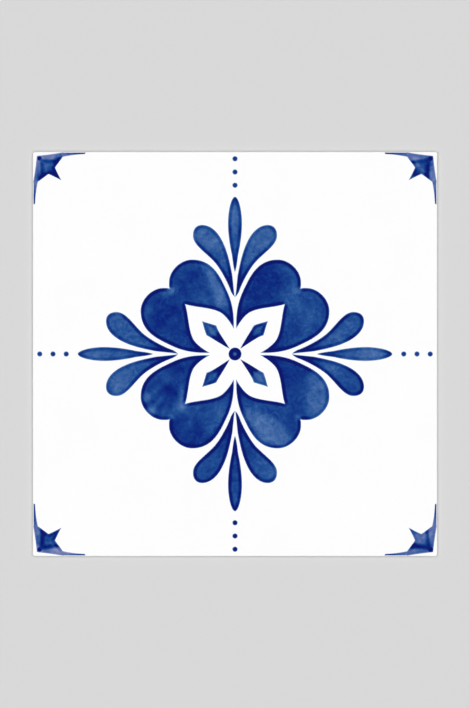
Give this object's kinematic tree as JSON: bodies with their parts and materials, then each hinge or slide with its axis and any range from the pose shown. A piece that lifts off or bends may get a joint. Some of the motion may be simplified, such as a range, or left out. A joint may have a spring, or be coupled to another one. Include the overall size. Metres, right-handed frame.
{
  "type": "self-adhesive floor tile",
  "caption": "Square self-adhesive vinyl floor tile with blunt corners and an eased rim, printed with a blue four-fold medallion on white; it sticks flat and butts edge to edge.",
  "frame": {"origin": "middle of the adhesive face, on the surface that the tile lies on", "axes": "+Z out of the printed face; +X and +Y along the tile's sides, +Y to the top of the picture"},
  "size_m": [0.2, 0.2, 0.0015],
  "materials": {
    "printed_vinyl": "satin white vinyl with a blue print under the wear layer"
  },
  "bodies": {
    "root": {"tile": "printed_vinyl"}
  },
  "joints": []
}
